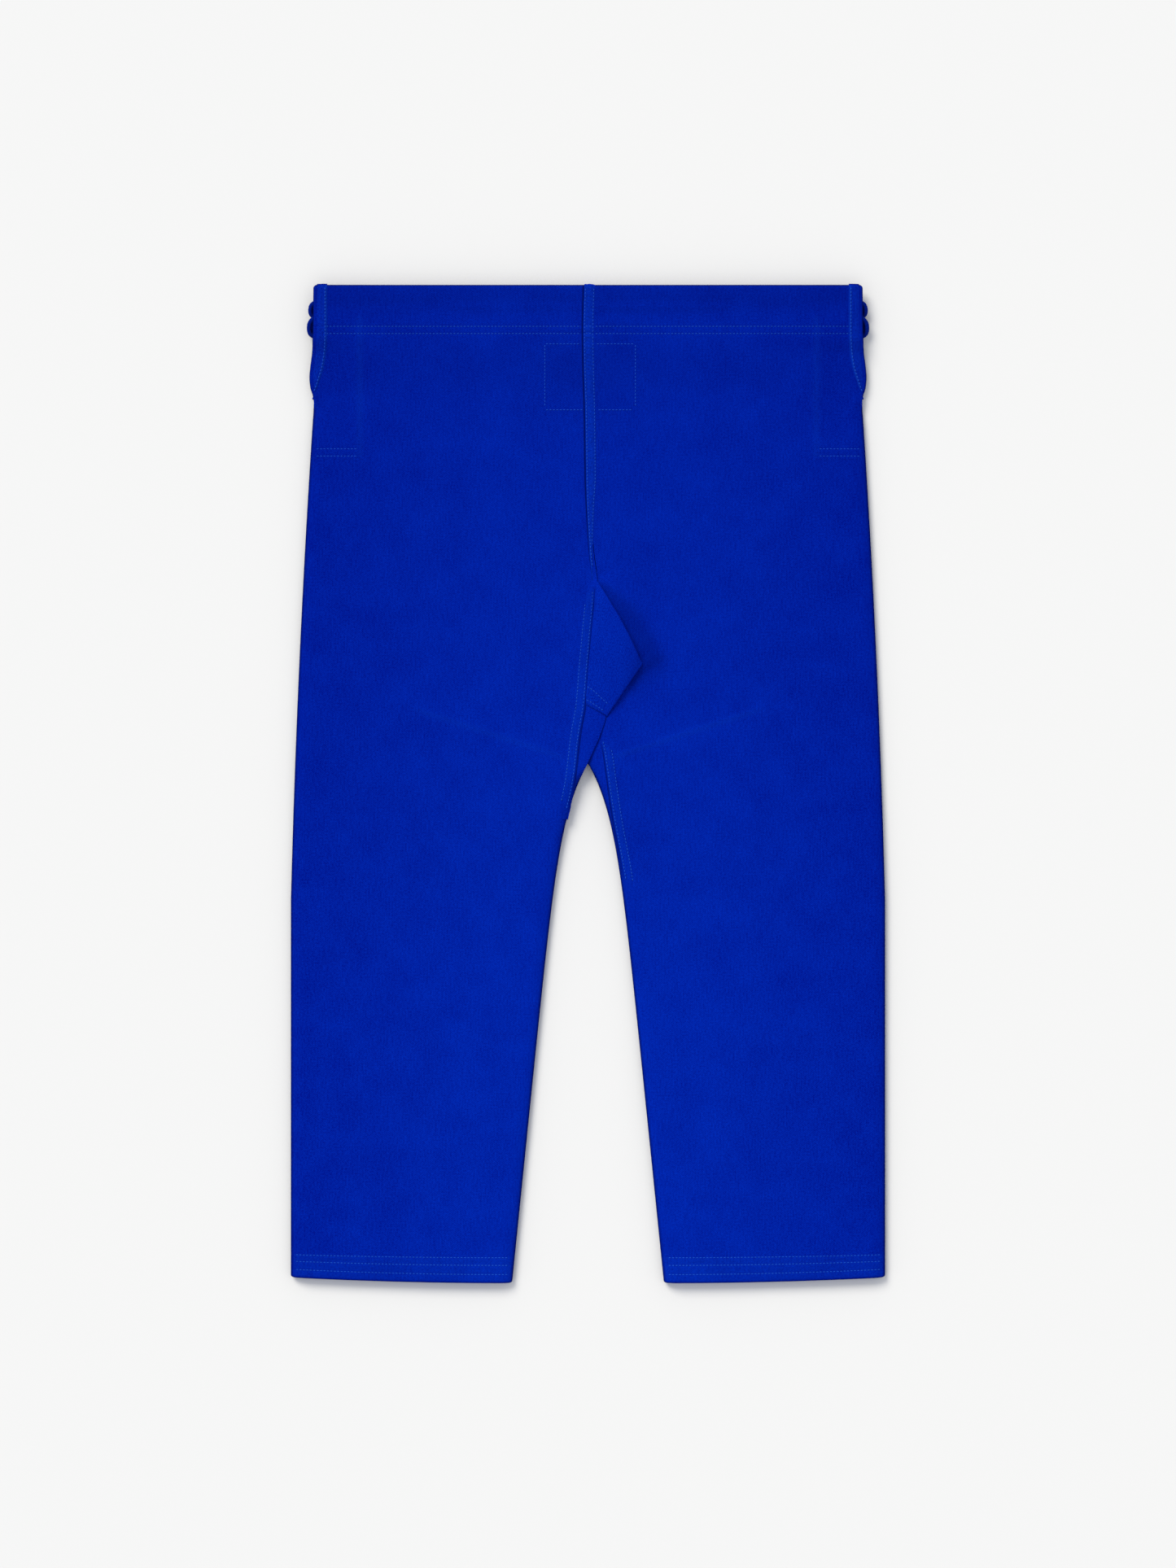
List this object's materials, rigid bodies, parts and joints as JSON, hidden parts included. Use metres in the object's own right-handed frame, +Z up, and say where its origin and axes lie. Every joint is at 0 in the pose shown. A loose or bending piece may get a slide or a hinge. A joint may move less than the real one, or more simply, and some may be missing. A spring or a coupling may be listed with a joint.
{
  "type": "martial arts trousers",
  "caption": "Drawcord trousers laid flat, back up: felled seams, crotch gusset, side vents, turned-over waist casing and reinforced knees.",
  "frame": {"origin": "middle of the bounding box in plan, on the surface that the trousers lie on", "axes": "+Z up, out of the back of the garment; +Y towards the waist; -X towards the wearer's left"},
  "size_m": [0.572, 0.96, 0.0215],
  "materials": {
    "cotton_twill": "matte woven cotton twill, royal blue",
    "gusset_twill": "matte woven cotton, royal blue, cut on the bias",
    "seam_twill": "matte woven cotton in folded and stitched layers",
    "braided_cord": "braided cotton cord",
    "label_tape": "plain woven label cloth"
  },
  "bodies": {
    "seat": {"left_back_panel": "cotton_twill", "left_front_panel": "cotton_twill", "left_knee_patch": "cotton_twill", "right_back_panel": "cotton_twill", "right_front_panel": "cotton_twill", "right_knee_patch": "cotton_twill", "crotch_gusset": "gusset_twill", "back_waist_casing": "cotton_twill", "left_front_waist_casing": "cotton_twill", "right_front_waist_casing": "cotton_twill", "left_back_vent_facing": "seam_twill", "left_front_vent_facing": "seam_twill", "right_back_vent_facing": "seam_twill", "right_front_vent_facing": "seam_twill", "left_hip_patch": "cotton_twill", "right_hip_patch": "cotton_twill", "centre_back_seam": "seam_twill", "centre_front_seam": "seam_twill", "left_inseam": "seam_twill", "right_inseam": "seam_twill", "inner_label": "label_tape", "drawcord_back_upper_run": "braided_cord", "drawcord_back_lower_run": "braided_cord", "drawcord_front_cross_run": "braided_cord", "drawcord_left_front_run": "braided_cord", "drawcord_right_front_run": "braided_cord", "drawcord_left_end": "braided_cord", "drawcord_right_end": "braided_cord", "drawcord_left_tip": "braided_cord", "drawcord_right_tip": "braided_cord"},
    "left_lower_leg": {"left_lower_back_panel": "cotton_twill", "left_lower_front_panel": "cotton_twill", "left_shin_patch": "cotton_twill", "left_back_hem": "cotton_twill", "left_front_hem": "cotton_twill"},
    "right_lower_leg": {"right_lower_back_panel": "cotton_twill", "right_lower_front_panel": "cotton_twill", "right_shin_patch": "cotton_twill", "right_back_hem": "cotton_twill", "right_front_hem": "cotton_twill"},
    "left_cord_loops": {"drawcord_left_upper_loop": "braided_cord", "drawcord_left_lower_loop": "braided_cord"},
    "right_cord_loops": {"drawcord_right_upper_loop": "braided_cord", "drawcord_right_lower_loop": "braided_cord"}
  },
  "joints": [
    {"name": "left_knee_fold", "type": "hinge", "parent": "seat", "child": "left_lower_leg", "pos_m": [-0.16, -0.111, 0.0125], "axis": [-1, 0, 0], "range_deg": [0, 178]},
    {"name": "right_knee_fold", "type": "hinge", "parent": "seat", "child": "right_lower_leg", "pos_m": [0.16, -0.111, 0.0125], "axis": [-1, 0, 0], "range_deg": [0, 178]},
    {"name": "left_cord_pull", "type": "slide", "parent": "seat", "child": "left_cord_loops", "axis": [-1, 0, 0], "range_m": [0, 0.06]},
    {"name": "right_cord_pull", "type": "slide", "parent": "seat", "child": "right_cord_loops", "axis": [1, 0, 0], "range_m": [0, 0.06]}
  ]
}
